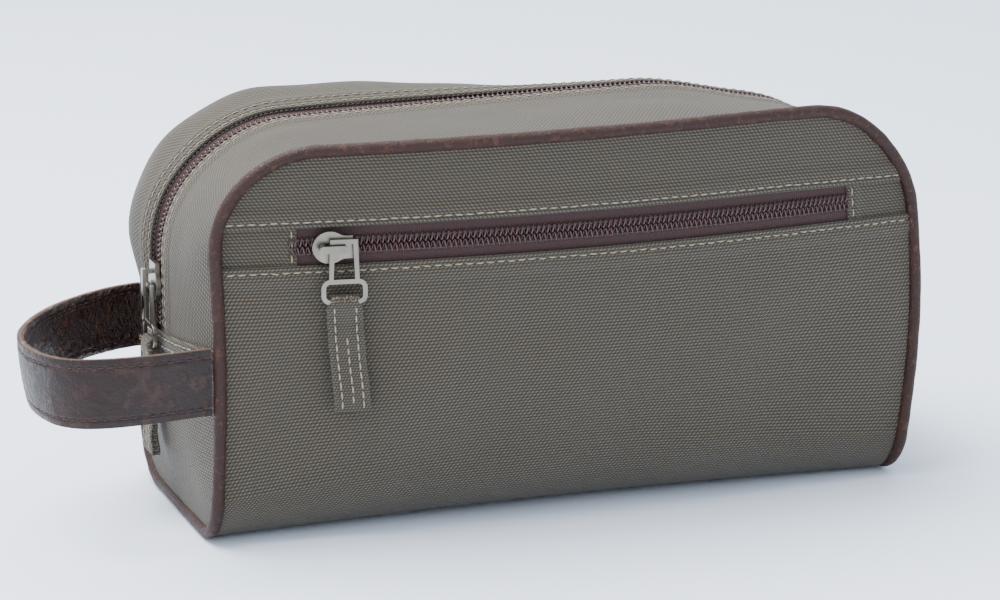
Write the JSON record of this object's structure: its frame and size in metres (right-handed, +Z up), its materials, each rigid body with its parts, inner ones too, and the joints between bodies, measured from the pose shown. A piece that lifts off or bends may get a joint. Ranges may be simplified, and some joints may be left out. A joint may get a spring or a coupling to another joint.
{
  "type": "makeup bag",
  "caption": "Zip-top toiletry bag in woven nylon with leather piping, a side loop handle, and a zipped front pocket with a fabric-tabbed pull.",
  "frame": {"origin": "middle of the base, on the surface that the bag stands on", "axes": "+X along the length, away from the handle; +Y to the back; +Z up"},
  "size_m": [0.32, 0.1252, 0.1398],
  "materials": {
    "nylon": "coarse ballistic plain weave, olive grey, cream topstitching",
    "piping_leather": "smooth dark brown, slightly glossy, paler where worn",
    "strap_leather": "crinkled glossy dark brown",
    "strap_backing": "smooth dark brown",
    "cotton_cord": "twisted cord",
    "zip_tape": "dark burgundy woven tape",
    "zip_coil": "burgundy nylon coil",
    "nickel": "satin nickel plate",
    "foam": "open cell foam sheet",
    "board": "stiff base sheet",
    "lining": "thin black taffeta"
  },
  "bodies": {
    "bag": {"main_body_panel": "nylon", "front_upper_panel": "nylon", "pocket_end_patch_left": "nylon", "pocket_end_patch_right": "nylon", "gusset_front_panel": "nylon", "gusset_rear_panel": "nylon", "end_panel_left": "nylon", "end_panel_right": "nylon", "piping_cover": "piping_leather", "handle_roots": "strap_leather", "piping_core": "cotton_cord", "main_zip_tape_front": "zip_tape", "main_zip_tape_rear": "zip_tape", "pocket_zip_tape_upper": "zip_tape", "pocket_zip_tape_lower": "zip_tape", "main_zip_coil_front": "zip_coil", "main_zip_coil_rear": "zip_coil", "pocket_zip_coil_upper": "zip_coil", "pocket_zip_coil_lower": "zip_coil", "front_foam": "foam", "back_foam": "foam", "base_board": "board", "body_lining": "lining", "gusset_lining": "lining", "pocket_lining": "lining"},
    "pocket_slider": {"pocket_slider_body": "nickel"},
    "pocket_pull": {"pocket_slider_pull": "nickel"},
    "pocket_tab": {"pocket_pull_tab": "nylon"},
    "main_slider": {"main_slider_body": "nickel"},
    "main_pull": {"main_slider_pull": "nickel"},
    "main_tab": {"main_pull_tab": "nylon"},
    "handle": {"handle_outer_leather": "strap_leather", "handle_inner_leather": "strap_backing", "handle_padding": "foam"}
  },
  "joints": [
    {"name": "pocket_slider_run", "type": "hinge", "parent": "bag", "child": "pocket_slider", "pos_m": [0, 0.54667, 0.104], "axis": [0, 0, 1], "range_deg": [0, 17.03]},
    {"name": "pocket_pull_swing", "type": "hinge", "parent": "pocket_slider", "child": "pocket_pull", "pos_m": [-0.08755, -0.05983, 0.104], "axis": [0, 0, -1], "range_deg": [0, 55]},
    {"name": "pocket_tab_lift", "type": "hinge", "parent": "pocket_pull", "child": "pocket_tab", "pos_m": [-0.08369, -0.06039, 0.08555], "axis": [-0.9898, 0.1424, 0], "range_deg": [0, 100]},
    {"name": "main_slider_run", "type": "slide", "parent": "bag", "child": "main_slider", "axis": [0, 0, 1], "range_m": [-0.008, 0.013]},
    {"name": "main_pull_lift", "type": "hinge", "parent": "main_slider", "child": "main_pull", "pos_m": [-0.1359, 0, 0.08133], "axis": [0, 1, 0], "range_deg": [0, 30]},
    {"name": "main_tab_lift", "type": "hinge", "parent": "main_pull", "child": "main_tab", "pos_m": [-0.1359, 0, 0.06063], "axis": [0, 1, 0], "range_deg": [0, 20]},
    {"name": "handle_swing", "type": "hinge", "parent": "bag", "child": "handle", "pos_m": [-0.143, 0, 0.0585], "axis": [0, 1, 0], "range_deg": [-45, 45]}
  ]
}
